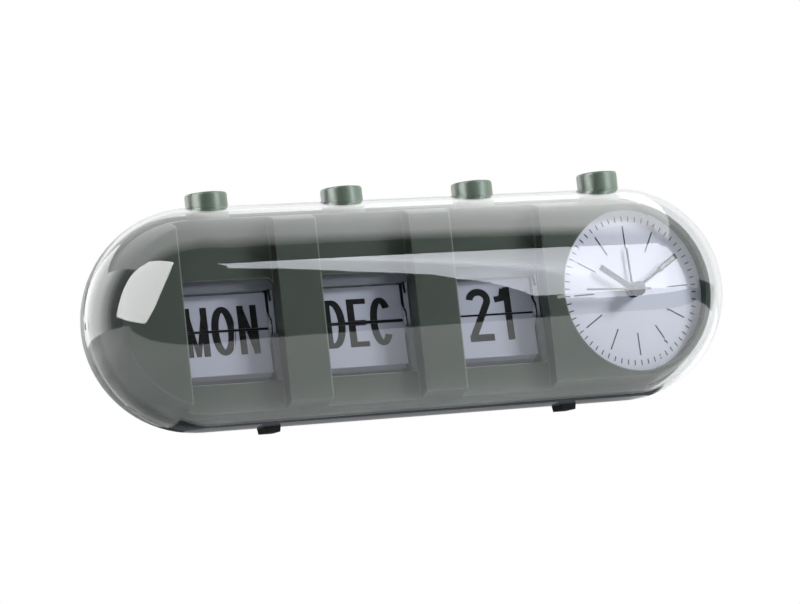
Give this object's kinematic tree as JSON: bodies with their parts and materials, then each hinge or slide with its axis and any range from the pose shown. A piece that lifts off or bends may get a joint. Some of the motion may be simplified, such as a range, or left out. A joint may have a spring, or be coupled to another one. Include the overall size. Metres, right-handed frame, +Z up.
{
  "type": "desk clock with calendar",
  "caption": "Capsule-shaped desk alarm clock: clear domed front, three flip-card calendar windows with push buttons, round analogue dial, setting knobs at the back.",
  "frame": {"origin": "centre of the bounding box at the bottom of the feet", "axes": "+X along the clock towards the dial end, -Y out of the front, +Z up"},
  "size_m": [0.266, 0.072, 0.0946],
  "materials": {
    "clear_cover": "clear polished acrylic",
    "green_housing": "moulded ABS, satin sage green",
    "green_shell": "moulded ABS, satin sage green",
    "green_button": "moulded ABS, satin sage green",
    "black_rubber": "matt rubber",
    "steel": "zinc-plated",
    "white_plastic": "moulded white plastic",
    "black_plastic": "moulded black plastic",
    "card": "thin white plastic leaves",
    "dial_white": "printed white dial",
    "hand_black": "satin black paint",
    "circuit_green": "green solder mask",
    "copper": "enamelled copper wire",
    "brass": "stamped brass",
    "battery_can": "plain sleeve"
  },
  "bodies": {
    "root": {"front_cover": "clear_cover", "front_housing": "green_housing", "rear_shell": "green_shell", "foot_left": "black_rubber", "foot_right": "black_rubber", "case_screws": "steel", "day_frame": "white_plastic", "month_frame": "white_plastic", "date_frame": "white_plastic", "frame_screws": "steel", "day_spring": "steel", "month_spring": "steel", "date_spring": "steel", "alarm_spring": "steel", "alarm_switch": "black_plastic", "dial_plate": "dial_white", "movement_front": "white_plastic", "movement_back": "white_plastic", "movement_screws": "steel", "circuit_board": "circuit_green", "stator": "steel", "coil": "copper", "buzzer": "brass", "battery": "battery_can", "battery_spring": "steel", "battery_contact": "steel"},
    "day_button": {"day_button": "green_button"},
    "day_drum": {"day_drum": "white_plastic", "day_leaves": "card"},
    "day_flip_leaf": {"day_flip_leaf": "card"},
    "month_button": {"month_button": "green_button"},
    "month_drum": {"month_drum": "white_plastic", "month_leaves": "card"},
    "month_flip_leaf": {"month_flip_leaf": "card"},
    "date_button": {"date_button": "green_button"},
    "date_drum": {"date_drum": "white_plastic", "date_leaves": "card"},
    "date_flip_leaf": {"date_flip_leaf": "card"},
    "alarm_button": {"alarm_button": "green_button"},
    "seconds": {"second_wheel": "brass", "second_hand": "hand_black"},
    "third_wheel": {"third_wheel": "brass"},
    "centre_wheel": {"centre_wheel": "brass"},
    "fifth_wheel": {"fifth_wheel": "brass"},
    "rotor": {"rotor": "steel"},
    "minutes": {"minute_pinion": "brass", "minute_hand": "hand_black"},
    "minute_wheel": {"minute_wheel": "white_plastic"},
    "hours": {"hour_wheel": "white_plastic", "hour_hand": "hand_black"},
    "time_knob": {"time_knob": "black_plastic"},
    "alarm_knob": {"alarm_knob": "black_plastic"},
    "alarm": {"alarm_wheel": "white_plastic", "alarm_hand": "hand_black"},
    "battery_door": {"battery_door": "green_shell"}
  },
  "joints": [
    {"name": "day_press", "type": "slide", "parent": "root", "child": "day_button", "axis": [0, 0, -1], "range_m": [0, 0.0022], "stiffness_N_per_m": 300, "springref_m": -0.004, "deforming": ["day_spring"]},
    {"name": "day_drum_turn", "type": "hinge", "parent": "root", "child": "day_drum", "pos_m": [-0.0806, 0.0063, 0.0391], "axis": [1, 0, 0], "range_deg": [0, 12.91]},
    {"name": "day_leaf_flip", "type": "hinge", "parent": "day_drum", "child": "day_flip_leaf", "pos_m": [-0.0806, -0.00066, 0.03988], "axis": [1, 0, 0], "range_deg": [0, 167.19]},
    {"name": "month_press", "type": "slide", "parent": "root", "child": "month_button", "axis": [0, 0, -1], "range_m": [0, 0.0022], "stiffness_N_per_m": 300, "springref_m": -0.004, "deforming": ["month_spring"]},
    {"name": "month_drum_turn", "type": "hinge", "parent": "root", "child": "month_drum", "pos_m": [-0.0245, 0.0063, 0.0391], "axis": [1, 0, 0], "range_deg": [0, 15.05]},
    {"name": "month_leaf_flip", "type": "hinge", "parent": "month_drum", "child": "month_flip_leaf", "pos_m": [-0.0245, -0.00064, 0.04001], "axis": [1, 0, 0], "range_deg": [0, 165.05]},
    {"name": "date_press", "type": "slide", "parent": "root", "child": "date_button", "axis": [0, 0, -1], "range_m": [0, 0.0022], "stiffness_N_per_m": 300, "springref_m": -0.004, "deforming": ["date_spring"]},
    {"name": "date_drum_turn", "type": "hinge", "parent": "root", "child": "date_drum", "pos_m": [0.0316, 0.0063, 0.0391], "axis": [1, 0, 0], "range_deg": [0, 11.66]},
    {"name": "date_leaf_flip", "type": "hinge", "parent": "date_drum", "child": "date_flip_leaf", "pos_m": [0.0316, -0.00066, 0.03981], "axis": [1, 0, 0], "range_deg": [0, 168.44]},
    {"name": "alarm_press", "type": "slide", "parent": "root", "child": "alarm_button", "axis": [0, 0, -1], "range_m": [0, 0.0022], "stiffness_N_per_m": 300, "springref_m": -0.004, "deforming": ["alarm_spring"]},
    {"name": "second_spin", "type": "hinge", "parent": "root", "child": "seconds", "pos_m": [0.0905, 0.0065, 0.0447], "axis": [0, 1, 0], "continuous": true},
    {"name": "third_spin", "type": "hinge", "parent": "root", "child": "third_wheel", "pos_m": [0.09771, 0.0065, 0.03749], "axis": [0, 1, 0], "continuous": true},
    {"name": "centre_spin", "type": "hinge", "parent": "root", "child": "centre_wheel", "pos_m": [0.0905, 0.0065, 0.0447], "axis": [0, 1, 0], "continuous": true},
    {"name": "fifth_spin", "type": "hinge", "parent": "root", "child": "fifth_wheel", "pos_m": [0.08414, 0.0065, 0.03834], "axis": [0, 1, 0], "continuous": true},
    {"name": "rotor_spin", "type": "hinge", "parent": "root", "child": "rotor", "pos_m": [0.07589, 0.0065, 0.03834], "axis": [0, 1, 0], "continuous": true},
    {"name": "minute_spin", "type": "hinge", "parent": "root", "child": "minutes", "pos_m": [0.0905, 0.0065, 0.0447], "axis": [0, 1, 0], "continuous": true},
    {"name": "minute_wheel_spin", "type": "hinge", "parent": "root", "child": "minute_wheel", "pos_m": [0.08371, 0.0065, 0.05149], "axis": [0, 1, 0], "continuous": true},
    {"name": "hour_spin", "type": "hinge", "parent": "root", "child": "hours", "pos_m": [0.0905, 0.0065, 0.0447], "axis": [0, 1, 0], "continuous": true},
    {"name": "time_knob_spin", "type": "hinge", "parent": "root", "child": "time_knob", "pos_m": [0.07469, 0.0065, 0.05477], "axis": [0, 1, 0], "continuous": true},
    {"name": "alarm_knob_spin", "type": "hinge", "parent": "root", "child": "alarm_knob", "pos_m": [0.09899, 0.0065, 0.05319], "axis": [0, 1, 0], "continuous": true},
    {"name": "alarm_spin", "type": "hinge", "parent": "root", "child": "alarm", "pos_m": [0.0905, 0.0065, 0.0447], "axis": [0, 1, 0], "continuous": true},
    {"name": "door_lift", "type": "slide", "parent": "root", "child": "battery_door", "axis": [0, 1, 0], "range_m": [0, 0.03]}
  ],
  "couplings": [
    {"joint": "day_drum_turn", "follows": "day_press", "rad_per_m": 102},
    {"joint": "day_leaf_flip", "follows": "day_press", "rad_per_m": 1326},
    {"joint": "month_drum_turn", "follows": "month_press", "rad_per_m": 119},
    {"joint": "month_leaf_flip", "follows": "month_press", "rad_per_m": 1309},
    {"joint": "date_drum_turn", "follows": "date_press", "rad_per_m": 92.129},
    {"joint": "date_leaf_flip", "follows": "date_press", "rad_per_m": 1335.9},
    {"joint": "third_spin", "follows": "second_spin", "ratio": -0.13333},
    {"joint": "centre_spin", "follows": "second_spin", "ratio": 0.016667},
    {"joint": "fifth_spin", "follows": "second_spin", "ratio": -3},
    {"joint": "rotor_spin", "follows": "second_spin", "ratio": 30},
    {"joint": "minute_wheel_spin", "follows": "minute_spin", "ratio": -0.33333},
    {"joint": "hour_spin", "follows": "minute_spin", "ratio": 0.083333},
    {"joint": "time_knob_spin", "follows": "minute_spin", "ratio": 1},
    {"joint": "alarm_spin", "follows": "alarm_knob_spin", "ratio": -0.5}
  ]
}
